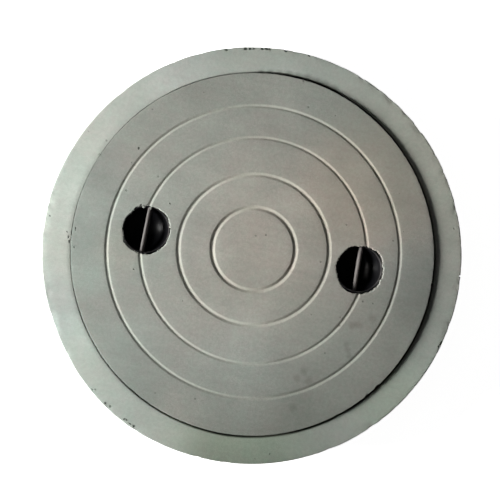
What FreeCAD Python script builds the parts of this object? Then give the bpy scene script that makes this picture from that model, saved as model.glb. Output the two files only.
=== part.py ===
import FreeCAD
import Part
import math
import os

from FreeCAD import Vector

# Round precast concrete manhole cover, lying loose in its concrete frame ring.
# Millimetres, +Z up. The origin is the centre of the frame's underside, and the
# two lifting pockets lie on the X axis.

# Cover slab
cover_diameter = 600.0          # across the top
cover_thickness = 60.0
cover_edge_taper = 6.0          # how far the edge leans in from top to underside
cover_arris = 1.5               # broken corner of the top edge

# Anti-slip rings pressed into the cover, from the edge inwards
first_ring_inset = 57.1         # cover edge to the outermost ring
ring_pitches = [55.0, 63.0, 56.1]
groove_width = 9.2
groove_depth = 2.0

# Frame ring
cover_stands_proud = 3.0        # cover top above the frame's top
seat_gap = 3.5                  # clearance all round between cover and frame
frame_rim_width = 44.5
frame_rim_arris = 2.5           # broken corner of the outer top edge
seat_mouth_arris = 1.5          # broken corner of the inner top edge
bearing_width = 24.0            # ring of ledge that carries the cover
ledge_thickness = 43.0

# Lifting pockets: a black plastic cup cast into the slab, under a bevelled lip
pocket_insets = {"left": 118.0, "right": 123.0}     # cover edge to the pocket's centre
pocket_lip = 1.5                # height and width of the concrete lip above the cup
cup_rim_diameter = 79.0
cup_depth = 34.0
cup_wall = 2.5
cup_slope_reach = 16.0          # slope inside, where the wall runs down to the floor
cup_slope_rise = 10.0

# Lifting bars: a straight steel rod through each cup, its ends cast into the slab
bar_diameter = 8.0
bar_cover = 6.0                 # slab top to the top of the bar
bar_grip_length = 35.0          # length held in the concrete beyond the cup's rim

# Levels and radii that follow
cover_radius = cover_diameter / 2
cover_foot_radius = cover_radius - cover_edge_taper
frame_depth = ledge_thickness + cover_thickness - cover_stands_proud
cover_underside = ledge_thickness
cover_top = cover_underside + cover_thickness
seat_mouth_radius = cover_radius + seat_gap
seat_root_radius = cover_foot_radius + seat_gap
shaft_radius = cover_foot_radius - bearing_width
frame_radius = seat_mouth_radius + frame_rim_width
cup_rim_radius = cup_rim_diameter / 2
cup_rim_level = cover_top - pocket_lip
cup_floor_level = cup_rim_level - cup_depth
bar_level = cover_top - bar_cover - bar_diameter / 2
bar_length = cup_rim_diameter + 2 * bar_grip_length

cutter_overrun = 10.0           # how far a cutting body stands above the slab

pocket_places = {
    "left": -(cover_radius - pocket_insets["left"]),
    "right": cover_radius - pocket_insets["right"],
}


def turned(outline):
    """Solid of revolution about Z from the (radius, level) corners of its section."""
    corners = [Vector(radius, 0, level) for radius, level in outline]
    face = Part.Face(Part.makePolygon(corners + corners[:1]))
    return face.revolve(Vector(0, 0, 0), Vector(0, 0, 1), 360)


def broken_corner(before, corner, after, arris):
    """The two points that replace a corner once its arris is taken off."""
    points = []
    for neighbour in (before, after):
        reach = arris / math.dist(corner, neighbour)
        points.append((
            corner[0] + (neighbour[0] - corner[0]) * reach,
            corner[1] + (neighbour[1] - corner[1]) * reach,
        ))
    return points


def ring_radii():
    """Radii of the rings, stepping inwards for as long as one still fits round the centre."""
    radii = []
    radius = cover_radius - first_ring_inset
    for pitch in ring_pitches + [0.0]:
        if radius < groove_width:
            break
        radii.append(radius)
        radius -= pitch
    return radii


def make_frame_ring():
    base = (frame_radius, 0)
    rim = (frame_radius, frame_depth)
    mouth = (seat_mouth_radius, frame_depth)
    seat_root = (seat_root_radius, cover_underside)
    ledge_nose = (shaft_radius, cover_underside)
    return turned(
        [(shaft_radius, 0), base]
        + broken_corner(base, rim, mouth, frame_rim_arris)
        + broken_corner(rim, mouth, seat_root, seat_mouth_arris)
        + [seat_root, ledge_nose]
    )


def make_cover_blank():
    """The slab with its rings, before the pockets are taken out."""
    bottom = (0, cover_underside)
    foot = (cover_foot_radius, cover_underside)
    edge = (cover_radius, cover_top)
    middle = (0, cover_top)
    grooves = []
    for radius in ring_radii():
        grooves += [
            (radius + groove_width / 2, cover_top),
            (radius, cover_top - groove_depth),
            (radius - groove_width / 2, cover_top),
        ]
    return turned(
        [bottom, foot]
        + broken_corner(foot, edge, middle, cover_arris)
        + grooves
        + [middle]
    )


def make_cup():
    """Moulded cup, standing on the Z axis, with a sloped corner inside."""
    outer_foot = (cup_rim_radius, cup_floor_level)
    inner_radius = cup_rim_radius - cup_wall
    inner_floor = cup_floor_level + cup_wall
    return turned([
        (0, cup_floor_level),
        outer_foot,
        (cup_rim_radius, cup_rim_level),
        (inner_radius, cup_rim_level),
        (inner_radius, inner_floor + cup_slope_rise),
        (inner_radius - cup_slope_reach, inner_floor),
        (0, inner_floor),
    ])


def make_pocket_cutter():
    """What the cup and the bevelled lip above it take out of the slab."""
    lip_radius = cup_rim_radius + pocket_lip
    above = cover_top + cutter_overrun
    return turned([
        (0, cup_floor_level),
        (cup_rim_radius, cup_floor_level),
        (cup_rim_radius, cup_rim_level),
        (lip_radius, cover_top),
        (lip_radius, above),
        (0, above),
    ])


def make_bar():
    """Straight rod along Y, across the middle of the cup."""
    return Part.makeCylinder(
        bar_diameter / 2, bar_length, Vector(0, -bar_length / 2, bar_level), Vector(0, 1, 0)
    )


def placed(shape, across):
    """A copy of the shape, moved along X."""
    moved = shape.copy()
    moved.translate(Vector(across, 0, 0))
    return moved


def make_parts():
    bar = make_bar()
    cup = make_cup().cut(bar)
    pocket_cutter = make_pocket_cutter()
    cover = make_cover_blank()
    parts = {"frame_ring": make_frame_ring()}
    for side, across in pocket_places.items():
        cover = cover.cut(placed(pocket_cutter, across)).cut(placed(bar, across))
        parts[side + "_lifting_cup"] = placed(cup, across)
        parts[side + "_lifting_bar"] = placed(bar, across)
    parts["cover_slab"] = cover
    return parts


os.makedirs("parts", exist_ok=True)
for node, shape in make_parts().items():
    shape.exportStep("parts/" + node + ".step")
    print(node, "valid" if shape.isValid() else "INVALID", len(shape.Solids), "solid",
          round(shape.Volume / 1e6, 4), "litres")
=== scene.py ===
import math

import bpy
from mathutils import Matrix, Vector


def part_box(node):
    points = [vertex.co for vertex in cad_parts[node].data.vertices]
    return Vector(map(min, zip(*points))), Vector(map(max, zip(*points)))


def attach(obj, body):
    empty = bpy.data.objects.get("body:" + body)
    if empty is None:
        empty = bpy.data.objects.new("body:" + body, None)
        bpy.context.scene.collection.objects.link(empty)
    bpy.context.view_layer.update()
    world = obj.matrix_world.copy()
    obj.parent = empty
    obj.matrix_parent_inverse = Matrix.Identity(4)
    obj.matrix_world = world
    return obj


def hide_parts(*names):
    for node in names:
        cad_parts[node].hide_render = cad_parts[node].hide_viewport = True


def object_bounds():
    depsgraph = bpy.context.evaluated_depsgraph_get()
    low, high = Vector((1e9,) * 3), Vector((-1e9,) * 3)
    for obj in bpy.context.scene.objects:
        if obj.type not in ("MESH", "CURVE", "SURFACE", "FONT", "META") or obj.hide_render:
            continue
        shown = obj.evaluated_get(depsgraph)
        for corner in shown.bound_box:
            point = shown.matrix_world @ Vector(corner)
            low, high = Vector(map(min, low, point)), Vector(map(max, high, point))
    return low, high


# Round concrete manhole cover lying in its frame ring. Sizes in the pieces' dictionaries are
# millimetres and degrees, counted from the X axis through the two lifting pockets.
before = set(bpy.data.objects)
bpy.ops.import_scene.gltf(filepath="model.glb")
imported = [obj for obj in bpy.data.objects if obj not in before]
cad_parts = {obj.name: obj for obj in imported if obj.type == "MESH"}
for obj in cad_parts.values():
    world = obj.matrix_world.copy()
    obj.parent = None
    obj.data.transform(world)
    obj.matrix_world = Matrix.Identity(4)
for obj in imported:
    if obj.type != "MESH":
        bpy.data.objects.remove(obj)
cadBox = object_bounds()
scene = bpy.context.scene
mm = 0.001
print("loaded", len(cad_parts), "nodes")


# Node helpers, for shader and geometry trees alike
def wire(tree, sockets, wires):
    for key, value in wires.items():
        if isinstance(value, bpy.types.NodeSocket):
            tree.links.new(value, sockets[key])
        elif sockets[key].type == "RGBA":
            sockets[key].default_value = (*value, 1.0)
        else:
            sockets[key].default_value = value


def addNode(tree, kind, wires=None, **settings):
    node = tree.nodes.new(kind)
    for name, value in settings.items():
        setattr(node, name, value)
    wire(tree, node.inputs, wires or {})
    return node


def shade(tree, kind, wires=None, **settings):
    return addNode(tree, "ShaderNode" + kind, wires, **settings).outputs


def geo(tree, kind, wires=None, **settings):
    return addNode(tree, "GeometryNode" + kind, wires, **settings).outputs[0]


# the maths below finds its tree from the sockets that it is given
def treeOf(terms):
    return next(term.id_data for term in terms if isinstance(term, bpy.types.NodeSocket))


def calc(operation, *terms, clamp=False):
    wires = dict(enumerate(terms))
    return shade(treeOf(terms), "Math", wires, operation=operation, use_clamp=clamp)[0]


def times(*terms):
    return calc("MULTIPLY", *terms)


def timesAdd(*terms):
    return calc("MULTIPLY_ADD", *terms)


def minus(*terms):
    return calc("SUBTRACT", *terms)


def calcVector(operation, *terms):
    wires = dict(enumerate(terms))
    return shade(treeOf(terms), "VectorMath", wires, operation=operation)[0]


def scaled(vector, factor):
    wires = {"Vector": vector, "Scale": factor}
    return shade(vector.id_data, "VectorMath", wires, operation="SCALE")[0]


def axes(vector):
    return shade(vector.id_data, "SeparateXYZ", {0: vector})


def fromAxes(**wires):
    return shade(treeOf(wires.values()), "CombineXYZ", wires)[0]


def noise(vector, scale, detail=2.0, roughness=0.5, output="Fac"):
    wires = {"Vector": vector, "Scale": scale, "Detail": detail, "Roughness": roughness}
    return shade(vector.id_data, "TexNoise", wires)[output]


def remap(value, low, high, toLow=0.0, toHigh=1.0):
    wires = {"Value": value, "From Min": low, "From Max": high, "To Min": toLow, "To Max": toHigh}
    return shade(value.id_data, "MapRange", wires, interpolation_type="SMOOTHSTEP")["Result"]


def mixColour(factor, first, second, mode="MIX"):
    wires = {0: factor, 6: first, 7: second}
    return shade(treeOf(wires.values()), "Mix", wires, data_type="RGBA", blend_type=mode)[2]


def newTree(name, kind, inputs, outputs):
    tree = bpy.data.node_groups.new(name, kind)
    for direction, sockets in (("INPUT", inputs), ("OUTPUT", outputs)):
        for socketKind, labels in sockets.items():
            for label in labels:
                tree.interface.new_socket(label, in_out=direction, socket_type="NodeSocket" + socketKind)
    return tree, tree.nodes.new("NodeGroupInput").outputs, tree.nodes.new("NodeGroupOutput").inputs


def clearedTree(owner):
    owner.use_nodes = True
    owner.node_tree.nodes.clear()
    return owner.node_tree


def linked(name, data):
    result = bpy.data.objects.new(name, data)
    scene.collection.objects.link(result)
    return result


# Studio: the photograph's view from above, one low lamp at the left, white round about.
# Places and sizes here are metres.
studio = {
    "cameraPlace": (-0.0209, -0.0918, 1.0904),
    "cameraRight": (0.9829, 0.1813, 0.0312),
    "cameraUp": (-0.1833, 0.9793, 0.0856),
    "lens": 43.2, "sensor": 36.0, "clipStart": 0.01,
    "lampTurn": 195.0, "lampHeight": 17.0, "lampDistance": 1.94,
    "lampAim": (-0.25, -0.018, 0.103),
    "lampSize": (0.48, 0.9), "lampSpread": 46.5, "lampPower": 9.45,
    "lampColour": (1.0, 0.995, 0.975),
    # a dim panel high up on the same side, for the rods in the pockets and softer shadows
    "panelTurn": 195.0, "panelHeight": 58.0, "panelDistance": 1.5,
    "panelSize": (0.9, 0.9), "panelPower": 0.9,
    # a strip on the floor behind, lower than the rim, for the walls that the lamp leaves dark
    "stripTurn": 40.0, "stripDistance": 1.5,
    "stripSize": (2.0, 0.08), "stripLift": 0.005, "stripPower": 6.0,
    # the room: dim, but for a band along the horizon that shows in gloss
    "fill": 0.006, "bandLow": 0.1, "bandHigh": 0.35,
    "skyColour": (0.98, 1.0, 1.0),
    "floorGlow": 0.97, "floorColour": 0.8, "floorSize": 12.0, "floorDrop": 0.0004,
}


def softLamp(name, place, aim, size, power):
    lamp = linked(name, bpy.data.lights.new(name, "AREA"))
    lamp.data.shape = "RECTANGLE"
    lamp.data.size, lamp.data.size_y = size
    lamp.data.energy = power
    facing = (place - aim).to_track_quat("Z", "Y").to_matrix().to_4x4()
    lamp.matrix_world = Matrix.Translation(place) @ facing
    return lamp


def makeCamera(s):
    camera = linked("camera", bpy.data.cameras.new("camera"))
    camera.data.lens = s["lens"]
    camera.data.sensor_width = s["sensor"]
    camera.data.clip_start = s["clipStart"]
    right = Vector(s["cameraRight"]).normalized()
    back = right.cross(Vector(s["cameraUp"])).normalized()
    turned = Matrix((right, back.cross(right), back)).transposed().to_4x4()
    camera.matrix_world = Matrix.Translation(s["cameraPlace"]) @ turned
    scene.camera = camera


def makeLamps(s):
    top = Vector((0.0, 0.0, cadBox[1][2]))

    def overTop(turn, height, distance):
        turn, height = math.radians(turn), math.radians(height)
        flat = math.cos(height)
        return top + Vector((math.cos(turn) * flat, math.sin(turn) * flat, math.sin(height))) * distance

    place = overTop(s["panelTurn"], s["panelHeight"], s["panelDistance"])
    softLamp("upperPanel", place, top, s["panelSize"], s["panelPower"])
    place = overTop(s["lampTurn"], s["lampHeight"], s["lampDistance"])
    window = softLamp("windowLamp", place, Vector(s["lampAim"]), s["lampSize"], s["lampPower"])
    window.data.spread = math.radians(s["lampSpread"])
    window.data.color = s["lampColour"]

    turn = math.radians(s["stripTurn"])
    level = Vector((0.0, 0.0, cadBox[0][2] + s["stripSize"][1] / 2 + s["stripLift"]))
    place = level + Vector((math.cos(turn), math.sin(turn), 0.0)) * s["stripDistance"]
    strip = softLamp("floorStrip", place, level, s["stripSize"], s["stripPower"])
    strip.visible_camera = False
    strip.visible_glossy = False


def makeFloor(s):
    floor = bpy.data.meshes.new("floor")
    half = s["floorSize"] / 2
    corners = [(-half, -half, 0), (half, -half, 0), (half, half, 0), (-half, half, 0)]
    floor.from_pydata(corners, [], [(0, 1, 2, 3)])
    floor.transform(Matrix.Translation((0, 0, cadBox[0][2] - s["floorDrop"])))
    linked("floor", floor)

    paper = bpy.data.materials.new("whitePaper")
    tree = clearedTree(paper)
    path = shade(tree, "LightPath")
    seen = calc("MAXIMUM", path["Is Camera Ray"], path["Is Glossy Ray"])
    seen = calc("MAXIMUM", seen, path["Is Transmission Ray"])
    glow = shade(tree, "Emission", {"Strength": times(seen, s["floorGlow"])})[0]
    plain = shade(tree, "BsdfDiffuse", {"Color": [s["floorColour"]] * 3})[0]
    both = shade(tree, "AddShader", {0: glow, 1: plain})[0]
    shade(tree, "OutputMaterial", {"Surface": both})
    floor.materials.append(paper)


def makeRoom(s):
    world = bpy.data.worlds.new("room")
    scene.world = world
    tree = clearedTree(world)
    path = shade(tree, "LightPath")
    mirrored = calc("MAXIMUM", path["Is Glossy Ray"], path["Is Transmission Ray"])
    direction = shade(tree, "TexCoord")["Generated"]
    band = remap(axes(direction)["Z"], s["bandLow"], s["bandHigh"], 1.0, s["fill"])
    wires = {0: mirrored, 2: s["fill"], 3: band}
    strength = shade(tree, "Mix", wires, data_type="FLOAT")[0]
    strength = calc("MAXIMUM", strength, path["Is Camera Ray"])
    sky = shade(tree, "Background", {"Color": s["skyColour"], "Strength": strength})[0]
    shade(tree, "OutputWorld", {"Surface": sky})
    scene.view_settings.view_transform = "Standard"


for make in (makeCamera, makeLamps, makeFloor, makeRoom):
    make(studio)
print("studio ready")


# What every cast surface shares: the scales of its patterns and how strong they are
concreteGrain = {
    # a second and a third colour drift in: where the pattern is read, and its share of the patch scale
    "drifts": [("Warm", (3.7, 1.9, 0.6), 0.8), ("Cool", (-2.3, 4.1, 1.3), 0.7)],
    "floatTurn": 0.18, "floatScale": (5.0, 70.0, 20.0),
    "sandScale": 750.0, "sandHeight": 0.35, "mottleScale": 190.0, "rippleScale": 130.0, "rippleHeight": 0.5,
    "blushScale": 85.0, "blush": ((0.98, 1.01, 1.0), (1.02, 0.99, 1.0)),
    "poreScale": 62.0, "poreFrom": 0.72, "poreSize": 0.14, "poreShade": -0.35, "poreHeight": -1.2,
    "stoneScale": 230.0, "stoneTones": (0.55, 0.95), "stoneFall": -1.4, "stoneTop": 0.4,
    "roughness": (0.93, 0.78), "specular": 0.3, "bumpStrength": 0.7,
    "patchCore": 0.2,       # share of a tinted patch's reach that has its full tint
}


def varied(tone, pattern, amount):
    return times(tone, timesAdd(pattern, amount, 1.0))


def makeConcreteGroup(g):
    tree, given, put = newTree("castConcrete", "ShaderNodeTree", {
        "Vector": ["Vector"], "Color": ["Pale", "Deep", "Warm", "Cool"],
        "Float": ["Patch Scale", "Streak", "Sand", "Mottle", "Broken"],
    }, {"Color": ["Colour"], "Float": ["Roughness", "Height"]})
    at = given["Vector"]
    cloud = noise(at, given["Patch Scale"], 5.0, 0.58)
    colour = mixColour(remap(cloud, 0.3, 0.7), given["Deep"], given["Pale"])
    for label, shift, share in g["drifts"]:
        shifted = calcVector("ADD", at, shift)
        drift = noise(shifted, times(given["Patch Scale"], share))
        colour = mixColour(remap(drift, 0.45, 0.72, 0.0, 0.5), colour, given[label])

    # faint marks of the float, drawn across the face
    wires = {"Vector": at, "Rotation": (0, 0, g["floatTurn"]), "Scale": g["floatScale"]}
    drawn = shade(tree, "Mapping", wires)[0]
    streak = remap(noise(drawn, 1.0, 3.0, 0.6), 0.25, 0.75, -1.0, 1.0)
    tone = varied(1.0, streak, given["Streak"])

    # sand in the cement skin, mottling, a blush of colour and small air pores, which are painted darker as a
    # painted shade in them
    sand = noise(at, g["sandScale"], 3.0, 0.65)
    tone = varied(tone, remap(sand, 0.3, 0.7, -1.0, 1.0), given["Sand"])
    mottle = remap(noise(at, g["mottleScale"]), 0.3, 0.7, -1.0, 1.0)
    tone = varied(tone, mottle, given["Mottle"])
    blush = remap(noise(at, g["blushScale"], 3.0, 0.6), 0.3, 0.7)
    colour = mixColour(1.0, colour, mixColour(blush, *g["blush"]), "MULTIPLY")
    pores = shade(tree, "TexVoronoi", {"Vector": at, "Scale": g["poreScale"]})
    rare = shade(tree, "SeparateColor", {0: pores["Color"]})[0]
    reach = remap(rare, g["poreFrom"], 1.0, 0.0, g["poreSize"])
    hole = remap(minus(reach, pores["Distance"]), 0.0, 0.05)
    tone = varied(tone, hole, g["poreShade"])
    colour = mixColour(1.0, colour, tone, "MULTIPLY")

    # a fresh break shows stones in darker mortar
    stones = shade(tree, "TexVoronoi", {"Vector": at, "Scale": g["stoneScale"]})
    stone = shade(tree, "SeparateColor", {0: stones["Color"]})[1]
    broken = mixColour(1.0, given["Deep"], remap(stone, 0.0, 1.0, *g["stoneTones"]), "MULTIPLY")
    colour = mixColour(given["Broken"], colour, broken)

    pitted = times(hole, g["poreHeight"])
    height = timesAdd(sand, g["sandHeight"], pitted)
    ripple = noise(at, g["rippleScale"], 3.0, 0.55)
    height = timesAdd(ripple, g["rippleHeight"], height)
    stony = timesAdd(stones["Distance"], g["stoneFall"], g["stoneTop"])
    height = calc("ADD", height, times(given["Broken"], stony))
    rough = remap(cloud, 0.2, 0.8, *g["roughness"])
    wire(tree, put, {"Colour": colour, "Height": height, "Roughness": rough})
    return tree


# Cement dust on plastic and steel: a cloudy mask with fine grain in it
dustGrain = {"fineScale": 9.0, "fineShare": 0.4, "start": 0.85, "coverShare": 0.6, "edge": 0.22}


def makeDustGroup(g):
    inputs = {"Vector": ["Vector"], "Float": ["Cover", "Scale"]}
    tree, given, put = newTree("cementDust", "ShaderNodeTree", inputs, {"Float": ["Mask", "Height"]})
    at = given["Vector"]
    cloud = noise(at, given["Scale"], 5.0, 0.65)
    fine = noise(at, times(given["Scale"], g["fineScale"]), 3.0, 0.7)
    cloud = times(cloud, 1 - g["fineShare"])
    both = timesAdd(fine, g["fineShare"], cloud)
    start = minus(g["start"], times(given["Cover"], g["coverShare"]))
    mask = remap(both, start, calc("ADD", start, g["edge"]))
    wire(tree, put, {"Mask": mask, "Height": fine})
    return tree


concreteGroup = makeConcreteGroup(concreteGrain)
dustGroup = makeDustGroup(dustGrain)


def dustOn(tree, at, f):
    wires = {"Vector": at, "Cover": f["dustCover"], "Scale": f["dustScale"]}
    return shade(tree, "Group", wires, node_tree=dustGroup)


def newMaterial(name):
    material = bpy.data.materials.new(name)
    tree = clearedTree(material)
    surface = tree.nodes.new("ShaderNodeBsdfPrincipled")
    shade(tree, "OutputMaterial", {"Surface": surface.outputs[0]})
    return material, tree, surface.inputs, shade(tree, "TexCoord")["Object"]


def surfaceValue(tree, label):
    return shade(tree, "Attribute", attribute_name=label)["Fac"]


def flatLength(vector):
    flat = calcVector("MULTIPLY", vector, (1.0, 1.0, 0.0))
    return shade(flat.id_data, "VectorMath", {0: flat}, operation="LENGTH")["Value"]


def addBump(tree, height, distance, strength, surface):
    wires = {"Height": height, "Distance": distance, "Strength": strength}
    tree.links.new(shade(tree, "Bump", wires)[0], surface["Normal"])


def concreteMaterial(name, f):
    material, tree, surface, at = newMaterial(name)
    wires = {label: f[label.lower()] for label in ("Pale", "Deep", "Warm", "Cool")}
    wires.update({
        "Vector": at, "Broken": surfaceValue(tree, "broken"), "Patch Scale": f["patchScale"],
        "Streak": f["streak"], "Sand": f["sand"], "Mottle": f["mottle"],
    })
    concrete = shade(tree, "Group", wires, node_tree=concreteGroup)
    # the marked parts take a tint: on the frame, grime and painted shade in the joint; on the cover, grooves
    # painted paler as a painted highlight
    marked = surfaceValue(tree, "mark")
    colour = mixColour(marked, concrete["Colour"], f["grimeAndPaintedLightTint"], "MULTIPLY")
    # each finish's dark spots: damp spots on the cover, a painted shadow beside the joint on the frame
    spotsAndPaintedShadow = [(*darkSpot, f["spotAndShadowTint"]) for darkSpot in f["spotsAndPaintedShadow"]]
    for x, y, reach, tint in f["patches"] + spotsAndPaintedShadow:
        distance = flatLength(calcVector("SUBTRACT", at, (x * mm, y * mm, 0.0)))
        fade = remap(distance, reach * mm, reach * mm * concreteGrain["patchCore"])
        colour = mixColour(fade, colour, tint, "MULTIPLY")
    # the frame's outer wall is painted darker below the rim: painted shade that holds down the low lamp's
    # glare on it
    if "wall" in f:
        radius, level, fade, tint = f["wall"]
        wall = remap(flatLength(at), (radius - fade) * mm, radius * mm)
        below = remap(axes(at)["Z"], level * mm, (level - fade) * mm)
        colour = mixColour(times(wall, below), colour, tint, "MULTIPLY")
    wire(tree, surface, {
        "Base Color": colour, "Roughness": concrete["Roughness"],
        "Specular IOR Level": concreteGrain["specular"],
    })
    addBump(tree, concrete["Height"], f["bump"] * mm, concreteGrain["bumpStrength"], surface)
    return material


frameFinish = {
    "pale": (0.453, 0.489, 0.443), "deep": (0.386, 0.417, 0.376),
    "warm": (0.438, 0.453, 0.407), "cool": (0.407, 0.458, 0.417),
    "patchScale": 12.0, "streak": 0.03, "sand": 0.08, "mottle": 0.04, "bump": 0.35,
    "grimeAndPaintedLightTint": (0.25, 0.24, 0.22),     # grime and painted shade where the section is marked: on the mouth's arc and down the seat of the joint
    # x, y and reach of a tinted patch, and its tint
    "patches": [
        # the first patch darkens the frame's bottom: partly its own tone, partly painted shade for the light
        # falling off there
        (40, -325, 170, (0.72, 0.79, 0.7)), (300, 230, 260, (1.06, 1.02, 0.98)),
        (-311, -150, 90, (0.9, 0.91, 0.94)), (-250, 215, 160, (1.1, 1.1, 1.11)),
        (-60, 330, 150, (1.06, 1.06, 1.06)), (270, -200, 110, (1.1, 1.17, 1.11)),
        (-110, -320, 110, (1.1, 1.1, 1.1)), (-72, -312, 60, (1.12, 1.12, 1.12)),
        (335, 50, 110, (0.95, 0.92, 0.92)), (-240, -240, 150, (1.01, 1.05, 1.05)),
        (-300, 80, 80, (1.06, 1.07, 1.07)), (-174, 277, 80, (1.15, 1.13, 1.16)),
    ],
    # painted shadow beside the joint at the far side, on the frame's top where the cover's shadow falls
    "spotsAndPaintedShadow": [
        (84, 291, 14), (68, 295, 15), (53, 298, 15), (37, 301, 15), (21, 301, 14), (5, 302, 13),
        (-11, 301, 11), (-27, 300, 10), (-42, 298, 9),
    ],
    "spotAndShadowTint": (0.46, 0.46, 0.45),
    # painted shade on the outer wall, darker than the top to hold down the low lamp's glare on it: its
    # radius, level, fade and tint
    "wall": (343.0, 97.0, 6.0, (0.42, 0.41, 0.4)),
}
coverFinish = {
    "pale": (0.325, 0.338, 0.304), "deep": (0.275, 0.287, 0.257),
    "warm": (0.313, 0.3, 0.271), "cool": (0.278, 0.305, 0.273),
    "patchScale": 13.0, "streak": 0.03, "sand": 0.1, "mottle": 0.045, "bump": 0.4,
    "grimeAndPaintedLightTint": (1.15, 1.14, 1.12),     # painted highlight: the pressed grooves are painted paler, lifting the light on their lit walls
    "patches": [
        (50, 30, 230, (1.11, 1.02, 1)), (180, 150, 170, (1.16, 1.07, 1.02)),
        # (60, -290) darkens the cover's bottom: partly its own tone, partly painted shade for the light
        # falling off there
        (60, -290, 190, (0.84, 0.87, 0.86)), (-72, -282, 55, (1.12, 1.12, 1.12)),
        (-285, -50, 190, (0.88, 0.94, 0.95)), (290, 0, 110, (0.81, 0.82, 0.83)),
        (20, -200, 130, (1.1, 1.1, 1.12)), (-150, -220, 130, (0.93, 0.97, 0.98)),
        (0, 175, 100, (0.92, 0.9, 0.9)), (-95, 10, 80, (0.96, 0.94, 0.95)),
        (150, -10, 70, (1.08, 1.08, 1.1)), (-258, -98, 45, (1.06, 1.12, 1.11)),
        (-250, -160, 65, (0.9, 0.9, 0.9)), (-216, -42, 60, (1.11, 1.02, 1)),
        (215, 20, 60, (1.1, 1.09, 1.11)), (240, 150, 90, (0.93, 0.93, 0.93)),
        (-275, 95, 70, (0.87, 0.87, 0.88)),
    ],
    # small damp spots
    "spotsAndPaintedShadow": [
        (181, -94, 10), (191, -91, 10), (212, -77, 11), (177, -126, 8), (181, -135, 8), (185, -144, 8),
        (116, -182, 9), (107, -194, 9), (126, -195, 10), (109, -241, 10),
    ],
    "spotAndShadowTint": (0.84, 0.83, 0.83),
}
frameConcrete = concreteMaterial("frameConcrete", frameFinish)
coverConcrete = concreteMaterial("coverConcrete", coverFinish)

cupFinish = {
    "plastic": (0.005, 0.005, 0.006), "cement": (0.2, 0.19, 0.185),
    "dustCover": 0.25, "dustScale": 40.0, "dustShare": 0.03,
    # the film of cement near the rim, paler near the X axis and fading away from it
    "filmScale": 160.0, "filmLeast": 0.08, "filmMost": 0.7,
    "filmNear": 8.0, "filmFar": 34.0, "filmFarShare": 0.2,
    # painted highlight in the right bowl beside its rod, a pale smear of dust: where it fades across X and
    # along Y
    "highlightSmearX": 195.5, "highlightSmearAcross": (1.0, 6.0), "highlightSmearAlong": (4.0, 18.0), "highlightSmearMost": 0.5,
    "roughness": 0.34, "dustRoughness": 0.2, "specular": 0.06,
    "bump": 0.1, "bumpScale": 220.0, "bumpStrength": 0.25,
}


def plasticMaterial(f):
    material, tree, surface, at = newMaterial("cupPlastic")
    dust = dustOn(tree, at, f)["Mask"]
    place = axes(at)
    aside = calc("ABSOLUTE", place["Y"])
    film = calc("POWER", surfaceValue(tree, "mark"), 2.0)
    cloud = noise(at, f["filmScale"], 4.0, 0.6)
    film = times(film, remap(cloud, 0.25, 0.75, f["filmLeast"], f["filmMost"]))
    offAxisFade = remap(aside, f["filmNear"] * mm, f["filmFar"] * mm, 1.0, f["filmFarShare"])
    film = times(film, offAxisFade)

    # painted highlight: a pale smear in the right bowl where the bowl shows a highlight
    across = calc("ABSOLUTE", minus(place["X"], f["highlightSmearX"] * mm))
    near, far = f["highlightSmearAcross"]
    highlightSmear = remap(across, near * mm, far * mm, f["highlightSmearMost"], 0.0)
    near, far = f["highlightSmearAlong"]
    highlightSmear = times(highlightSmear, remap(aside, near * mm, far * mm, 1.0, 0.0))
    film = calc("ADD", film, highlightSmear)
    dusty = timesAdd(dust, f["dustShare"], film)
    colour = mixColour(dusty, f["plastic"], f["cement"])
    rough = timesAdd(dust, f["dustRoughness"], f["roughness"])
    wire(tree, surface, {"Base Color": colour, "Roughness": rough, "Specular IOR Level": f["specular"]})
    addBump(tree, noise(at, f["bumpScale"]), f["bump"] * mm, f["bumpStrength"], surface)
    return material


barFinish = {
    "deep": (0.06, 0.054, 0.051), "pale": (0.1, 0.092, 0.088), "bloom": (0.11, 0.1, 0.096),
    "dustCover": 0.55, "dustScale": 60.0, "drawnScale": (900.0, 25.0, 900.0),
    # the right rod is painted brighter: painted light that lifts the shade its pocket casts on its ends
    "rightPaintedLight": 2.2, "between": 50.0,
    "metallic": 0.3, "roughness": (0.6, 0.85),
    "bump": 0.15, "bumpStrength": 0.6, "dustHeight": 0.6, "lineHeight": 0.4,
}


def steelMaterial(f):
    material, tree, surface, at = newMaterial("barSteel")
    dust = dustOn(tree, at, f)
    drawn = shade(tree, "Mapping", {"Vector": at, "Scale": f["drawnScale"]})[0]
    lines = noise(drawn, 1.0, 3.0, 0.6)
    steel = mixColour(lines, f["deep"], f["pale"])
    colour = mixColour(dust["Mask"], steel, f["bloom"])
    # painted light: the right rod's colour is raised, across this reach towards it
    reach = f["between"] * mm
    paintedLight = remap(axes(at)["X"], -reach, reach, 1.0, f["rightPaintedLight"])
    colour = mixColour(1.0, colour, paintedLight, "MULTIPLY")
    bare = remap(dust["Mask"], 0.0, 1.0, f["metallic"], 0.0)
    rough = remap(dust["Mask"], 0.0, 1.0, *f["roughness"])
    wire(tree, surface, {"Base Color": colour, "Metallic": bare, "Roughness": rough})
    height = times(lines, f["lineHeight"])
    height = timesAdd(dust["Height"], f["dustHeight"], height)
    addBump(tree, height, f["bump"] * mm, f["bumpStrength"], surface)
    return material


cupPlastic = plasticMaterial(cupFinish)
barSteel = steelMaterial(barFinish)
print("materials ready")


# Sections: corners as (radius, level, rounding, point spacing on the run that follows, mark)
arcSteps = 6
arrisFade = 8.0     # how far wear reaches from a rounded corner along the runs beside it


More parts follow.
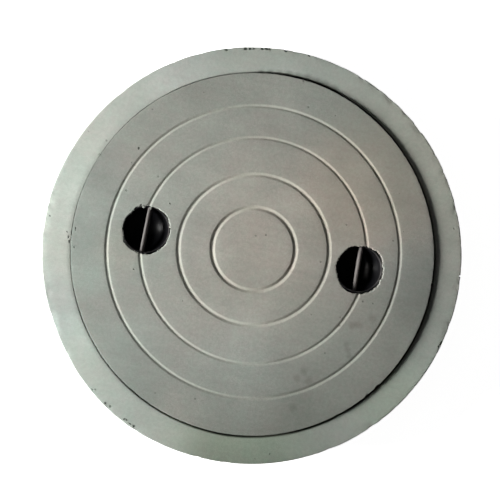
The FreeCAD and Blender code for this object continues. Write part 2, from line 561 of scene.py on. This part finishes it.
def sectionPoints(corners, closed):
    stations = []
    for i, (radius, level, rounding, spacing, mark) in enumerate(corners):
        here = Vector((radius, level))
        before = Vector(corners[i - 1][:2])
        after = Vector(corners[(i + 1) % len(corners)][:2])
        arc = [here]
        if rounding:
            toBefore = (before - here).normalized()
            toAfter = (after - here).normalized()
            reach = rounding / math.tan(toBefore.angle(toAfter) / 2)
            start = here + toBefore * reach
            end = here + toAfter * reach
            shares = [step / arcSteps for step in range(arcSteps + 1)]
            arc = [start.lerp(here, share).lerp(here.lerp(end, share), share) for share in shares]
        stations.append((arc, bool(rounding), spacing, mark))
    points = []
    runs = len(stations) if closed else len(stations) - 1
    for i, (arc, isArris, spacing, mark) in enumerate(stations):
        points += [(p.x, p.y, float(isArris), mark) for p in arc]
        if i >= runs:
            continue
        nextArc, nextIsArris, nextSpacing, nextMark = stations[(i + 1) % len(stations)]
        start = arc[-1]
        end = nextArc[0]
        length = (end - start).length
        pieces = max(1, round(length / spacing))
        for step in range(1, pieces):
            share = step / pieces
            p = start.lerp(end, share)
            nearStart = max(0.0, 1 - share * length / arrisFade) * isArris
            nearEnd = max(0.0, 1 - (1 - share) * length / arrisFade) * nextIsArris
            points.append((p.x, p.y, max(nearStart, nearEnd), mark + (nextMark - mark) * share))
    if closed:
        points.append(points[0])
    return points


def sectionObject(name, points, extras=None):
    mesh = bpy.data.meshes.new(name)
    places = [(radius * mm, 0.0, level * mm) for radius, level, arris, mark in points]
    mesh.from_pydata(places, [(i, i + 1) for i in range(len(points) - 1)], [])
    values = {"arris": [p[2] for p in points], "mark": [p[3] for p in points], **(extras or {})}
    for label, column in values.items():
        mesh.attributes.new(label, "FLOAT", "POINT").data.foreach_set("value", column)
    return linked(name, mesh)


# Lumps: points with a size, that knock chips and pits out of a casting or stick crumbs on it
def lumpObject(name, lumps):
    mesh = bpy.data.meshes.new(name)
    places = []
    sizes = []
    turns = []
    for radius, turn, level, along, across, high in lumps:
        angle = math.radians(turn)
        places.append((radius * mm * math.cos(angle), radius * mm * math.sin(angle), level * mm))
        sizes += [across * mm, along * mm, high * mm]
        turns.append(angle)
    mesh.from_pydata(places, [], [])
    # each attribute is filled as it is made, because the next one moves it in memory
    mesh.attributes.new("size", "FLOAT_VECTOR", "POINT").data.foreach_set("vector", sizes)
    mesh.attributes.new("turn", "FLOAT", "POINT").data.foreach_set("value", turns)
    return linked(name, mesh)


# A value that changes round the piece, from stops of turn and amount, none past the span
def roundCurve(share, stops, span):
    node = addNode(share.id_data, "ShaderNodeFloatCurve", {"Value": share})
    curve = node.mapping.curves[0]
    stops = sorted(stops)
    first, last = stops[0], stops[-1]
    gap = first[0] + 360 - last[0]
    ends = last[1] + (first[1] - last[1]) * (360 - last[0]) / gap
    curve.points[0].location = (0.0, 0.5 + ends / span / 2)
    curve.points[1].location = (1.0, 0.5 + ends / span / 2)
    for turn, amount in stops:
        curve.points.new(turn / 360, 0.5 + amount / span / 2)
    node.mapping.update()
    return times(minus(node.outputs[0], 0.5), span * 2)


# Turned castings and mouldings: a section carried round, made uneven, then chipped, cut and pitted
turning = {
    "swellSpan": 5.0, "jointSpan": 1.0, "mouthSpan": 4.0,
    "weldDistance": 0.02,
    "lumpGrain": 240.0, "lumpDetail": 3, "pitDetail": 2,
    "pitSteepest": 0.5,         # pits form where the normal rises less than this
    "sliverPoints": 200.0,      # a loose bit with fewer points is dropped
}
# tree inputs that a piece's dictionary holds under the same words, and those that are worked out
wholeInputs = ["steps", "seed"]
plainInputs = ["waveScale", "gritScale", "wearScale", "wearStart", "pitDensity"]
lengthInputs = [
    "waveHeight", "gritHeight", "wearDepth", "leanDrop", "leanRise", "lumpRoughness", "pitLeast", "pitMost",
]
placeInputs = ["swellFrom", "swellTo", "leanToward", "leanStart", "leanEnd", "leanFoot", "leanTop"]


def turnedTree(name, piece, cut=False):
    tree, given, put = newTree(name, "GeometryNodeTree", {
        "Geometry": ["Geometry"], "Int": wholeInputs, "Float": lengthInputs + plainInputs + placeInputs,
        "Object": ["Chips", "Crumbs", "Cutters"], "Material": ["Finish"],
    }, {"Geometry": ["Geometry"]})

    def named(label, kind="FLOAT"):
        return geo(tree, "InputNamedAttribute", {"Name": label}, data_type=kind)

    def stored(mesh, label, value):
        wires = {"Geometry": mesh, "Name": label, "Value": value}
        return geo(tree, "StoreNamedAttribute", wires, data_type="FLOAT", domain="POINT")

    # the section, carried round on a grid
    section = given["Geometry"]
    count = geo(tree, "AttributeDomainSize", {"Geometry": section}, component="MESH")
    around = calc("ADD", given["steps"], 1)
    grid = geo(tree, "MeshGrid", {"Vertices X": around, "Vertices Y": count})
    index = geo(tree, "InputIndex")
    station = calc("MODULO", index, count)
    row = calc("FLOOR", calc("DIVIDE", calc("ADD", index, 0.5), count))
    share = calc("DIVIDE", row, given["steps"])
    turn = times(share, math.tau)
    cosine = calc("COSINE", turn)
    sine = calc("SINE", turn)

    def carried(value, kind="FLOAT"):
        wires = {"Geometry": section, "Value": value, "Index": station}
        return geo(tree, "SampleIndex", wires, data_type=kind, domain="POINT")

    place = axes(carried(geo(tree, "InputPosition"), "FLOAT_VECTOR"))
    arris = carried(named("arris"))
    mark = carried(named("mark"))
    radius = place["X"]
    level = place["Z"]
    if "swell" in piece:
        outer = remap(radius, given["swellFrom"], given["swellTo"])
        swell = roundCurve(share, piece["swell"], turning["swellSpan"])
        if "ragged" in piece:
            bearing = fromAxes(X=cosine, Y=sine, Z=piece["raggedFrom"])
            jag = minus(noise(bearing, piece["raggedScale"], 4.0, 0.65), 0.5)
            swell = timesAdd(jag, piece["ragged"], swell)
        radius = timesAdd(times(swell, mm), outer, radius)
    if "joint" in piece:
        filled = roundCurve(share, piece["joint"], turning["jointSpan"])
        # where dust fills the joint, the dark tint of grime and painted shade is taken off
        mark = times(mark, minus(1.0, filled))
        radius = timesAdd(filled, carried(named("fillIn")), radius)
        level = timesAdd(filled, carried(named("fillUp")), level)
        wornBack = times(roundCurve(share, piece["mouthWorn"], turning["mouthSpan"]), mm)
        radius = timesAdd(wornBack, carried(named("mouth")), radius)
    x = times(radius, cosine)
    y = times(radius, sine)
    mesh = stored(stored(stored(grid, "arris", arris), "mark", mark), "broken", 0.0)
    mesh = geo(tree, "SetPosition", {"Geometry": mesh, "Position": fromAxes(X=x, Y=y, Z=level)})
    mesh = geo(tree, "MergeByDistance", {"Geometry": mesh, "Distance": turning["weldDistance"] * mm})

    # waves, grit and worn arrises, and a top that leans
    at = geo(tree, "InputPosition")
    normal = geo(tree, "InputNormal")

    def uneven(label, detail):
        pattern = noise(at, given[label + "Scale"], detail)
        return times(minus(pattern, 0.5), given[label + "Height"])

    worn = noise(at, given["wearScale"], 4.0, 0.6)
    worn = calc("SUBTRACT", worn, given["wearStart"], clamp=True)
    worn = times(times(worn, named("arris")), given["wearDepth"])
    push = calc("ADD", uneven("wave", 2.0), uneven("grit", 3.0))
    offset = scaled(normal, minus(push, worn))
    if "leanRise" in piece:
        ahead = calc("COSINE", given["leanToward"])
        aside = calc("SINE", given["leanToward"])
        wires = {0: at, 1: fromAxes(X=ahead, Y=aside)}
        along = shade(tree, "VectorMath", wires, operation="DOT_PRODUCT")["Value"]
        lean = remap(along, *[given["lean" + end] for end in ("Start", "End", "Drop", "Rise")])
        upper = remap(axes(at)["Z"], given["leanFoot"], given["leanTop"])
        offset = calcVector("ADD", offset, fromAxes(Z=times(lean, upper)))
    mesh = geo(tree, "SetPosition", {"Geometry": mesh, "Offset": offset})

    def shapeOf(label):
        return addNode(tree, "GeometryNodeObjectInfo", {"Object": given[label]}).outputs["Geometry"]

    def lumps(points, detail, scale, rotation=None):
        ball = geo(tree, "MeshIcoSphere", {"Radius": 1.0, "Subdivisions": detail})
        wires = {"Points": points, "Instance": ball, "Scale": scale}
        if rotation:
            wires["Rotation"] = rotation
        shapes = geo(tree, "RealizeInstances", {"Geometry": geo(tree, "InstanceOnPoints", wires)})
        crumble = noise(at, turning["lumpGrain"], output="Color")
        crumble = calcVector("SUBTRACT", crumble, (0.5, 0.5, 0.5))
        wires = {"Geometry": shapes, "Offset": scaled(crumble, given["lumpRoughness"])}
        return stored(geo(tree, "SetPosition", wires), "broken", 1.0)

    def placedLumps(label):
        euler = fromAxes(Z=named("turn"))
        rotation = addNode(tree, "FunctionNodeEulerToRotation", {"Euler": euler}).outputs[0]
        return lumps(shapeOf(label), turning["lumpDetail"], named("size", "FLOAT_VECTOR"), rotation)

    def combined(operation, first, second):
        node = addNode(tree, "GeometryNodeMeshBoolean", operation=operation, solver="MANIFOLD")
        tree.links.new(first, node.inputs["Mesh 1" if operation == "DIFFERENCE" else "Mesh 2"])
        tree.links.new(second, node.inputs["Mesh 2"])
        return node.outputs["Mesh"]

    if "pitDensity" in piece:
        steep = calc("LESS_THAN", axes(normal)["Z"], turning["pitSteepest"])
        wires = {"Mesh": mesh, "Selection": steep, "Density": given["pitDensity"], "Seed": given["seed"]}
        points = geo(tree, "DistributePointsOnFaces", wires)
        wires = {"Seed": given["seed"]}
        random = addNode(tree, "FunctionNodeRandomValue", wires, data_type="FLOAT").outputs[1]
        wires = {0: calc("POWER", random, 3.0), 3: given["pitLeast"], 4: given["pitMost"]}
        size = shade(tree, "MapRange", wires)[0]
        mesh = combined("DIFFERENCE", mesh, lumps(points, turning["pitDetail"], size))
    if "chips" in piece:
        mesh = combined("DIFFERENCE", mesh, placedLumps("Chips"))
    if cut:
        mesh = combined("DIFFERENCE", mesh, shapeOf("Cutters"))
    if "crumbs" in piece:
        mesh = combined("UNION", mesh, placedLumps("Crumbs"))

    # slivers that a cut leaves loose are dropped
    wires = {"Value": 1.0, "Group ID": geo(tree, "InputMeshIsland")}
    counted = addNode(tree, "GeometryNodeAccumulateField", wires, data_type="FLOAT", domain="POINT")
    loose = calc("LESS_THAN", counted.outputs["Total"], turning["sliverPoints"])
    mesh = geo(tree, "DeleteGeometry", {"Geometry": mesh, "Selection": loose}, domain="POINT")
    mesh = geo(tree, "RealizeInstances", {"Geometry": mesh})
    mesh = geo(tree, "SetMaterial", {"Geometry": mesh, "Material": given["Finish"]})
    tree.links.new(mesh, put["Geometry"])
    return tree


def evaluated(name, holder, tree, p, values, sharpest=38.0):
    held = {label: p[label] for label in wholeInputs + plainInputs if label in p}
    lengths = {label: p[label] * mm for label in lengthInputs if label in p}
    values = {**held, **lengths, **values}
    modifier = holder.modifiers.new("build", "NODES")
    modifier.node_group = tree
    for item in tree.interface.items_tree:
        if item.in_out == "INPUT" and item.name in values:
            modifier[item.identifier] = values[item.name]
    bpy.context.view_layer.update()
    depsgraph = bpy.context.evaluated_depsgraph_get()
    finished = holder.evaluated_get(depsgraph)
    mesh = bpy.data.meshes.new_from_object(finished, preserve_all_data_layers=True, depsgraph=depsgraph)
    mesh.name = name
    holder.modifiers.remove(modifier)
    bpy.data.objects.remove(holder)
    mesh.shade_smooth()
    mesh.set_sharp_from_angle(angle=math.radians(sharpest))
    mesh.calc_loop_triangles()
    print(name, len(mesh.loop_triangles), "triangles")
    return linked(name, mesh)


def dressed(piece, node):
    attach(piece, "root")
    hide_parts(node)


# Frame ring
frameLow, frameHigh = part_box("frame_ring")
coverLow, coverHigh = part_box("cover_slab")
frameRing = {
    "steps": 900,
    "rimRounding": 2.6, "mouthRounding": 1.6, "footRounding": 1.5,
    "mouthRadius": 303.5, "rootRadius": 297.5, "shaftRadius": 270.0,
    "waveHeight": 1.2, "waveScale": 9.0, "gritHeight": 0.35, "gritScale": 110.0,
    "wearDepth": 7.0, "wearScale": 55.0, "wearStart": 0.5,
    # how far the outer wall stands off a true circle
    "swell": [
        (20, 1.2), (45, 1.6), (75, 0.6), (105, -1), (150, -1.2), (185, 0.8), (215, 0), (236, 2.6),
        (255, 0.8), (280, -0.8), (310, -0.3), (345, 0.5),
    ],
    # the mouth of the seat: how far its wear reaches outwards, how worn it is, and its darkening, partly
    # grime and partly painted shade, on the arc and down the seat wall
    "mouthReach": 8.0, "mouthWear": 0.15, "mouthGrimeShade": 0.4, "grimeShadeTop": 4.0, "grimeShadeLean": 0.4,
    # share of the joint round the cover that dust has filled, and how far the mouth has worn back
    "joint": [
        (0, 0), (60, 0), (88, 0), (102, 0.3), (120, 0.53), (140, 0.61), (160, 0.6), (180, 0.51), (200, 0.52),
        (220, 0.43), (240, 0.35), (260, 0.16), (280, 0), (300, 0), (320, 0),
    ],
    "mouthWorn": [
        (0, 1.9), (40, 1.2), (70, 2.2), (84, 3.6), (97, 2.2), (112, 0.4), (170, 0), (200, 0.9), (230, 1.7),
        (260, 1.8), (280, 2.5), (300, 2.4), (320, 2.1), (340, 2.2),
    ],
    "filletReach": 4.1, "filletSag": 0.35, "filletDepth": 22.0, "ledgeRoom": 5.0,
    "pitDensity": 420.0, "pitLeast": 0.6, "pitMost": 3.0, "seed": 11, "lumpRoughness": 3.2,
    # radius, turn, level, then half sizes along the edge, across it and in height
    "chips": [
        (343.9, 102.7, 100, 3.4, 2.6, 4), (343.5, 101.5, 100, 2.4, 2.2, 3.4),
        (343.8, 100.4, 100, 2.4, 2.2, 3.4), (344, 97.9, 100, 3, 2.5, 4), (344.4, 96.7, 100, 3.4, 2.6, 4.2),
        (344.3, 95.8, 100, 2.4, 2.2, 3.4), (345.5, 91.3, 99.8, 3.2, 2.6, 4.2),
        (344, 108.3, 100, 3, 2.4, 3.4), (345.8, 84.6, 99.8, 2.4, 2, 3.2), (348.3, 230.3, 99.5, 2.6, 2, 2.6),
        (345.8, 231.5, 100.2, 2.2, 1.8, 2.4), (342.4, 232.1, 100.2, 2, 1.8, 2.2),
        (345.6, 236.7, 100.2, 2.4, 1.8, 2.4), (344.2, 238.2, 100.2, 2.4, 1.8, 2.2),
        (344.8, 243.3, 100.2, 2, 1.7, 2.2), (344.2, 243.9, 100.2, 1.8, 1.5, 2),
        (345.6, 245.2, 100.2, 2, 1.6, 2.2), (345, 246.4, 100.2, 2.2, 2, 2.6),
        (351.5, 237.9, 99.5, 5, 3.6, 3.4), (350.8, 227.9, 99, 6, 3, 4), (352.5, 232.6, 99.5, 3.2, 3.6, 3.4),
        (347.6, 3.2, 99.5, 3, 2.6, 4), (345.9, 343.9, 100, 4, 2, 3.2), (345, 342.9, 100, 2.6, 1.8, 2.6),
        (350, 46.2, 99.5, 7, 3, 3), (348.5, 314.1, 99, 8, 3.4, 4.2), (348.8, 299.8, 99.5, 5, 2.4, 2.6),
        (308.4, 185.2, 100.6, 1.6, 1.5, 1.6), (305.6, 186.8, 100.4, 2.6, 1.3, 1.8),
        (303.4, 188.2, 100.2, 3, 1.8, 2.2), (302.5, 158.7, 100.1, 2.6, 1, 0.9),
        (338.5, 16.4, 100.4, 1.8, 1.6, 1.4), (332.3, 284.9, 100.4, 1.7, 1.7, 1.3),
        (340.5, 181.3, 100.4, 1.5, 1.5, 1), (349, 200, 60, 5, 2.5, 6), (349, 70, 3, 14, 4, 6),
        (349, 312, 2, 10, 4, 5), (349, 162, 2, 12, 4, 5), (270.5, 40, 1, 10, 3, 4),
        (271, 190, 1, 12, 3.5, 4),
    ],
}


def makeFrameRing(p):
    top = frameHigh.z / mm
    low = frameLow.z / mm
    outer = frameHigh.x / mm
    ledge = coverLow.z / mm
    mouth = p["mouthRadius"]
    corners = [
        (p["shaftRadius"], low, p["footRounding"], 10.0, 0.0),
        (outer, low, p["footRounding"], 5.0, 0.0),
        (outer, top, p["rimRounding"], 4.0, 0.0),
        (mouth, top, p["mouthRounding"], 1.0, 0.0),
        # from here down, the seat wall and ledge are tinted dark: grime and painted shade in the joint
        (mouth - p["grimeShadeLean"], top - p["grimeShadeTop"], 0.0, 6.0, 1.0),
        (p["rootRadius"], ledge, 0.0, 12.0, 1.0),
        (p["shaftRadius"], ledge, p["footRounding"], 10.0, 0.5),
    ]
    start = mouth + p["mouthRounding"]
    near = start + p["mouthReach"]
    hair = 0.01     # keeps the ends of a rounding on their own side
    points = []
    extras = {"fillIn": [], "fillUp": [], "mouth": []}
    for radius, level, arris, mark in sectionPoints(corners, True):
        seat = level > top - p["filletDepth"] and radius < start + hair
        onArc = level > top - p["mouthRounding"] - hair
        down = (start - radius) / p["mouthRounding"]
        # the mouth's arc is tinted darker towards the joint: grime and painted shade
        if seat and onArc:
            mark = max(mark, p["mouthGrimeShade"] * min(1.0, down))
        points.append((radius, level, arris * (p["mouthWear"] if radius < near else 1.0), mark))
        flatRadius = start - min(1.0, down) * (p["filletReach"] + p["mouthRounding"])
        flatLevel = top - p["filletSag"] * math.sin(math.pi * min(1.0, down))
        extras["fillIn"].append((flatRadius - radius) * mm if seat else 0.0)
        extras["fillUp"].append((flatLevel - level) * mm if seat and onArc else 0.0)
        atMouth = level > ledge + p["ledgeRoom"] and radius < near
        wear = max(0.0, 1 - max(0.0, radius - start) / p["mouthReach"])
        extras["mouth"].append(wear if atMouth else 0.0)
    tree = turnedTree("frameCasting", p)
    chips = lumpObject("frameChips", p["chips"])
    piece = evaluated("frameRing", sectionObject("frameSection", points, extras), tree, p, {
        "Chips": chips, "Finish": frameConcrete,
        "swellFrom": (mouth + p["mouthReach"]) * mm, "swellTo": outer * mm,
    })
    bpy.data.objects.remove(chips)
    dressed(piece, "frame_ring")


makeFrameRing(frameRing)


# Cover slab, with its rings and the two ragged pockets
cupSides = ("left", "right")
cupBoxes = {side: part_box(side + "_lifting_cup") for side in cupSides}
pocketCutter = {
    "steps": 260, "radius": 40.2, "footRoom": 0.3,
    # above the slab the cutter opens out by this much, and rises by a share of it
    "over": 9.0, "overRise": 0.7, "dishRise": 0.05,
    # the lip laps over the cup's rim: its middle radius, its slope, its foot and top below the slab's top
    "lipRadius": 38.2, "lipBevel": 0.7, "lipFoot": 1.3, "lipTop": 0.08, "dishRadius": 40.8,
    "waveHeight": 0.3, "waveScale": 40.0, "gritHeight": 0.9, "gritScale": 210.0,
    # how far the broken lip stands off that radius, between two shares of it, and how ragged it is
    "swellShares": (0.5, 0.9), "ragged": 8.0, "raggedScale": 8.0,
    "outlines": {
        "left": [
            (0, 2.9), (18, 2.4), (32, 2.6), (45, 3), (58, 1.4), (76, 0.9), (104, 1.6), (118, 1.9),
            (132, 0.2), (150, -0.6), (172, -0.1), (196, -0.3), (212, 0.7), (226, 2.6), (240, 3.3),
            (254, 2.6), (272, 3.4), (290, 4.2), (304, 3.8), (318, 2.9), (332, 3.3), (346, 2.7),
        ],
        "right": [
            (0, 2.7), (14, 2.3), (28, 3.6), (44, 4.2), (58, 2.8), (78, 1), (102, -0.4), (118, 0.7),
            (134, -0.2), (152, -0.6), (176, 0.2), (198, -0.2), (216, 1), (232, 2.5), (250, 3.8), (272, 4.2),
            (288, 4.6), (302, 3.8), (318, 4), (336, 3), (350, 2.4),
        ],
    },
    # nicks in the lip, as turn and size
    "nicks": {
        "left": [
            (12, 1.3), (38, 1.7), (52, 1.4), (97, 1.2), (112, 1.8), (140, 1.2), (222, 1.5), (247, 1.4),
            (312, 1.5), (341, 1.2),
        ],
        "right": [
            (25, 1.3), (43, 1.9), (50, 1.4), (124, 1.3), (238, 1.5), (295, 1.4), (328, 1.6),
        ],
    },
}
coverSlab = {
    "steps": 760,
    "edgeRounding": 0.8, "edgeOut": 0.9, "footRounding": 2.5, "taper": 6.0, "sharpest": 22.0,
    # how far the edge stands off a true circle
    "swell": [
        (0, -0.5), (40, -1.3), (60, -1.1), (85, 0.2), (110, -0.1), (150, 0), (200, 0.7), (240, 1.4),
        (262, 1.2), (285, 0.6), (305, 0.4), (330, 0.3),
    ],
    "swellReach": 12.0,
    # radius, half width and depth of each pressed ring
    "rings": [(242.9, 3.7, 1.27), (187.9, 3.7, 1.24), (124.9, 4.4, 1.6), (68.8, 4.7, 1.9)],
    # half of a pressed groove: share of its half width, share of its depth
    "grooveShape": [(1.18, 0.0), (1.0, 0.04), (0.8, 0.2), (0.55, 0.5), (0.3, 0.8), (0.12, 0.95), (0.0, 1.0)],
    "waveHeight": 0.9, "waveScale": 8.0, "gritHeight": 0.28, "gritScale": 120.0,
    "wearDepth": 2.6, "wearScale": 90.0, "wearStart": 0.5,
    # the top is lower at the left than at the right, and rises between two shares of the radius
    "leanDrop": -3.2, "leanRise": 2.4, "leanTurn": -2.0, "leanFrom": -0.48, "leanTo": 0.42, "leanSkin": 4.0,
    "pitDensity": 160.0, "pitLeast": 0.6, "pitMost": 3.0, "seed": 5, "lumpRoughness": 2.2,
    "chips": [
        (301, 359.2, 103, 3.6, 2.4, 2.8), (301.2, 3.3, 103, 3, 2.2, 2.6), (301, 318, 103, 3.8, 2.4, 2.6),
        (301, 322.2, 103, 4.8, 2.4, 2.6), (301, 42.7, 103, 3.8, 2.4, 2.4),
        (255.6, 149.1, 103.4, 2.3, 2.3, 1.4), (200.1, 200, 103.2, 1.6, 1.6, 1.2),
        (158.6, 161.7, 103.2, 1.4, 1.7, 1.2), (295.2, 189.9, 103.2, 1.8, 1.5, 1.1),
        (295.6, 184.1, 103.2, 3.4, 1, 1.2), (249.9, 155, 103.2, 1.3, 1.3, 1.1),
        (299.8, 158.7, 103, 2.4, 0.9, 0.9), (296, 70, 42, 9, 4, 4), (296, 215, 42, 12, 4, 5),
    ],
    "crumbs": [
        (183.6, 168.6, 101.6, 2.6, 2.4, 1.5), (185.4, 169.3, 101.8, 1.8, 2, 1.3),
        (195.4, 169.3, 101.8, 2.2, 2.8, 1.4), (198.6, 170.4, 101.9, 1.6, 2.2, 1.2),
    ],
}


def cupMiddle(side):
    return (cupBoxes[side][0] + cupBoxes[side][1]) / 2


def coverTopAt(x, y):
    p = coverSlab
    turn = math.radians(p["leanTurn"])
    along = (x * math.cos(turn) + y * math.sin(turn)) / coverHigh.x
    share = (along - p["leanFrom"]) / (p["leanTo"] - p["leanFrom"])
    share = min(1.0, max(0.0, share))
    share = share * share * (3 - 2 * share)
    lean = p["leanDrop"] + (p["leanRise"] - p["leanDrop"]) * share
    return coverHigh.z + lean * mm


def onCover(lumps):
    placed = []
    for radius, turn, level, *half in lumps:
        x = radius * mm * math.cos(math.radians(turn))
        y = radius * mm * math.sin(math.radians(turn))
        nearTop = level * mm > (coverLow.z + coverHigh.z) / 2
        placed.append((radius, turn, level + nearTop * (coverTopAt(x, y) - coverHigh.z) / mm, *half))
    return placed


def rimNicks(p):
    nicks = []
    for side in cupSides:
        middle = cupMiddle(side)
        for turn, size in p["nicks"][side]:
            angle = math.radians(turn)
            place = middle + Vector((math.cos(angle), math.sin(angle), 0.0)) * p["dishRadius"] * mm
            away = math.degrees(math.atan2(place.y, place.x))
            nicks.append((place.xy.length / mm, away, coverHigh.z / mm, size, size, size))
    return nicks


def makePocketCutter(p):
    both = []
    for side in cupSides:
        middle = cupMiddle(side)
        top = coverTopAt(middle.x, middle.y) / mm
        foot = cupBoxes[side][0].z / mm + p["footRoom"]
        above = top + p["over"] * p["overRise"]
        corners = [
            (0.0, foot, 0.0, 10.0, 0.0),
            (p["radius"], foot, 0.0, 8.0, 0.0),
            (p["radius"], top - p["lipFoot"] * 2, 0.0, 0.8, 0.0),
            (p["lipRadius"] - p["lipBevel"], top - p["lipFoot"], 0.0, 0.3, 0.0),
            (p["lipRadius"] + p["lipBevel"], top - p["lipTop"], 0.0, 0.8, 0.0),
            (p["dishRadius"], top + p["dishRise"], 0.0, 2.0, 0.0),
            (p["dishRadius"] + p["over"], above, 0.0, 15.0, 0.0),
            (0.0, above, 0.0, 15.0, 0.0),
        ]
        tree = turnedTree(side + "PocketCutting", {
            "swell": p["outlines"][side], "ragged": p["ragged"], "raggedScale": p["raggedScale"],
            "raggedFrom": middle.x / mm,
        })
        section = sectionObject("pocketSection", sectionPoints(corners, False))
        swellFrom, swellTo = p["swellShares"]
        cutter = evaluated(side + "Pocket", section, tree, p, {
            "swellFrom": p["lipRadius"] * swellFrom * mm, "swellTo": p["lipRadius"] * swellTo * mm,
        })
        cutter.data.transform(Matrix.Translation((middle.x, middle.y, 0.0)))
        both.append(cutter)
    with bpy.context.temp_override(active_object=both[0], selected_editable_objects=both):
        bpy.ops.object.join()
    return both[0]


def makeCoverSlab(p):
    top = coverHigh.z / mm
    low = coverLow.z / mm
    edge = coverHigh.x / mm + p["edgeOut"]
    corners = [
        (0.0, low, 0.0, 40.0, 0.0),
        (edge - p["taper"], low, p["footRounding"], 9.0, 0.0),
        (edge, top, p["edgeRounding"], 6.0, 0.0),
    ]
    for ring, reach, depth in p["rings"]:
        # groove points carry the mark that paints them paler, a painted highlight on their lit walls
        half = [(ring + u * reach, top - f * depth, 0.0, 8.5, min(1.0, 4 * f)) for u, f in p["grooveShape"]]
        corners += half + [(2 * ring - radius, *rest) for radius, *rest in reversed(half[:-1])]
    corners.append((0.0, top, 0.0, 8.5, 0.0))
    tree = turnedTree("coverCasting", p, cut=True)
    chips = lumpObject("coverChips", onCover(p["chips"] + rimNicks(pocketCutter)))
    crumbs = lumpObject("coverCrumbs", onCover(p["crumbs"]))
    cutter = makePocketCutter(pocketCutter)
    section = sectionObject("coverSection", sectionPoints(corners, False))
    piece = evaluated("coverSlab", section, tree, p, {
        "Chips": chips, "Crumbs": crumbs, "Cutters": cutter, "Finish": coverConcrete,
        "swellFrom": (edge - p["swellReach"]) * mm, "swellTo": edge * mm,
        "leanToward": math.radians(p["leanTurn"]), "leanStart": p["leanFrom"] * coverHigh.x,
        "leanEnd": p["leanTo"] * coverHigh.x, "leanFoot": coverLow.z,
        "leanTop": coverHigh.z - p["leanSkin"] * mm,
    }, p["sharpest"])
    for helper in (chips, crumbs, cutter):
        bpy.data.objects.remove(helper)
    dressed(piece, "cover_slab")


makeCoverSlab(coverSlab)


# Lifting cups: smooth bowls with a round inner corner and a thin rim
liftingCup = {
    "steps": 160, "wall": 2.0, "rimDrop": 1.0, "rimRounding": 0.7, "footRounding": 5.0,
    "bowlRadius": 43.0, "bowlSteps": 12, "floorThickness": {"left": 2.5, "right": 5.5},
    # cement clings to the wall past a share of the radius, more and more towards the rim
    "filmReach": 0.85, "filmFoot": 0.25,
    "waveHeight": 0.15, "waveScale": 30.0,
}


def makeCups(p):
    tree = turnedTree("cupMoulding", p)
    for side in cupSides:
        low, high = cupBoxes[side]
        middle = cupMiddle(side)
        outer = (high.x - low.x) / 2 / mm
        inner = outer - p["wall"]
        foot = low.z / mm
        floor = foot + p["floorThickness"][side]
        rim = coverTopAt(middle.x, middle.y) / mm - p["rimDrop"]
        corners = [
            (0.0, foot, 0.0, 6.0, 0.0),
            (outer, foot, p["footRounding"], 5.0, 0.0),
            (outer, rim, p["rimRounding"], 1.0, 1.0),
            (inner, rim, p["rimRounding"], 3.0, 1.0),
        ]
        steepest = math.asin(inner / p["bowlRadius"])
        for step in range(p["bowlSteps"], -1, -1):
            slope = steepest * step / p["bowlSteps"]
            radius = p["bowlRadius"] * math.sin(slope)
            film = p["filmFoot"] * max(0.0, (radius / inner - p["filmReach"]) / (1 - p["filmReach"]))
            corners.append((radius, floor + p["bowlRadius"] * (1 - math.cos(slope)), 0.0, 4.0, film))
        section = sectionObject("cupSection", sectionPoints(corners, False))
        piece = evaluated(side + "LiftingCup", section, tree, p, {"Finish": cupPlastic})
        piece.data.transform(Matrix.Translation((middle.x, middle.y, 0)))
        dressed(piece, side + "_lifting_cup")


makeCups(liftingCup)


# Lifting bars: straight rods, a little uneven under their cement bloom
liftingBar = {"round": 28, "along": 90, "unevenness": 0.35, "unevenScale": 160.0}


def barTree():
    tree, given, put = newTree("barDrawing", "GeometryNodeTree", {
        "Geometry": ["Geometry"], "Vector": ["start", "end"], "Int": ["round", "along"],
        "Float": ["radius", "unevenness", "unevenScale"], "Material": ["Finish"],
    }, {"Geometry": ["Geometry"]})
    line = geo(tree, "CurvePrimitiveLine", {"Start": given["start"], "End": given["end"]})
    line = geo(tree, "ResampleCurve", {"Curve": line, "Count": given["along"]})
    circle = geo(tree, "CurvePrimitiveCircle", {"Resolution": given["round"], "Radius": given["radius"]})
    rod = geo(tree, "CurveToMesh", {"Curve": line, "Profile Curve": circle, "Fill Caps": True})
    rough = noise(geo(tree, "InputPosition"), given["unevenScale"], 3.0)
    rough = times(minus(rough, 0.5), given["unevenness"])
    offset = scaled(geo(tree, "InputNormal"), rough)
    rod = geo(tree, "SetPosition", {"Geometry": rod, "Offset": offset})
    rod = geo(tree, "RealizeInstances", {"Geometry": rod})
    rod = geo(tree, "SetMaterial", {"Geometry": rod, "Material": given["Finish"]})
    tree.links.new(rod, put["Geometry"])
    return tree


def makeBars(p):
    tree = barTree()
    for side in cupSides:
        low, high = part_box(side + "_lifting_bar")
        middle = (low + high) / 2
        holder = linked("barPath", bpy.data.meshes.new("barPath"))
        piece = evaluated(side + "LiftingBar", holder, tree, p, {
            **p, "unevenness": p["unevenness"] * mm, "radius": (high.x - low.x) / 2, "Finish": barSteel,
            "start": (middle.x, low.y, middle.z), "end": (middle.x, high.y, middle.z),
        })
        dressed(piece, side + "_lifting_bar")


makeBars(liftingBar)
